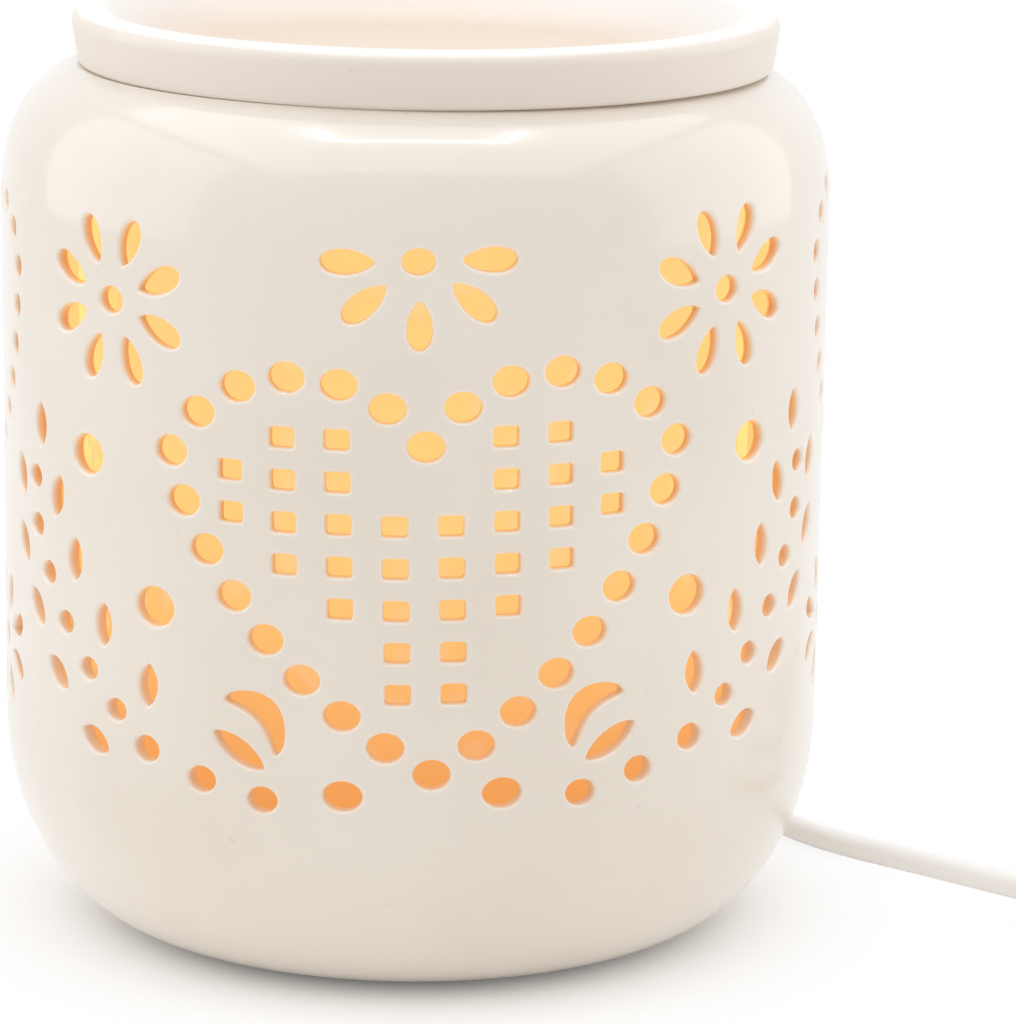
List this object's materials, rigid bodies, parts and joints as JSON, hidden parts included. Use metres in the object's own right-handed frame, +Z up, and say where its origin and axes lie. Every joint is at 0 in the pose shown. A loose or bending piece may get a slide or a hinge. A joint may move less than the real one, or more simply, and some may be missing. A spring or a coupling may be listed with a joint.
{
  "type": "essential oil burner",
  "caption": "Electric aroma burner: a pierced ivory ceramic jar with a heart pattern, a lift-off oil dish, a twist-in reflector lamp and a coiled mains lead.",
  "frame": {"origin": "centre of the jar's foot, on the floor", "axes": "+Z up along the jar's axis, -Y towards the pierced front, +X to the side where the lead lies"},
  "size_m": [0.2717, 0.1757, 0.1567],
  "materials": {
    "glazed_body": "glossy ivory glaze",
    "glazed_dish": "glossy ivory glaze",
    "sheet_steel": "zinc-plated sheet",
    "screw_steel": "plated screws",
    "foot_rubber": "matte black",
    "holder_ceramic": "unglazed white",
    "contact_brass": "plain",
    "lamp_reflector": "bright",
    "lamp_glass": "clear",
    "terminal_plastic": "translucent white",
    "wire_plastic": "heat-proof sleeve",
    "grip_plastic": "black nylon",
    "lead_plastic": "soft white PVC",
    "plug_plastic": "white moulded",
    "tie_plastic": "white strap",
    "pin_steel": "nickel plated"
  },
  "bodies": {
    "burner": {"body_shell": "glazed_body", "base_plate": "sheet_steel", "base_feet": "foot_rubber", "base_screws": "screw_steel", "clamp_bar": "sheet_steel", "holder_bracket": "sheet_steel", "lamp_holder": "holder_ceramic", "holder_screws": "screw_steel", "holder_contacts": "contact_brass", "terminal_block": "terminal_plastic", "lead_wires": "wire_plastic", "cord_grip": "grip_plastic", "supply_tail": "lead_plastic", "cord_grommet": "lead_plastic", "power_cord": "lead_plastic", "cord_coil": "lead_plastic", "cord_tie": "tie_plastic", "plug_sleeve": "plug_plastic", "plug_body": "plug_plastic", "plug_pins": "pin_steel"},
    "dish": {"dish": "glazed_dish"},
    "lamp": {"lamp_cap": "holder_ceramic", "lamp_pins": "pin_steel", "lamp_reflector": "lamp_reflector", "lamp_front_glass": "lamp_glass", "lamp_capsule": "lamp_glass"}
  },
  "joints": [
    {"name": "dish_lift", "type": "slide", "parent": "burner", "child": "dish", "axis": [0, 0, 1], "range_m": [0, 0.06]},
    {"name": "lamp_twist", "type": "hinge", "parent": "burner", "child": "lamp", "pos_m": [0, 0, 0.055], "axis": [0, 0, 1], "range_deg": [0, 24]}
  ]
}
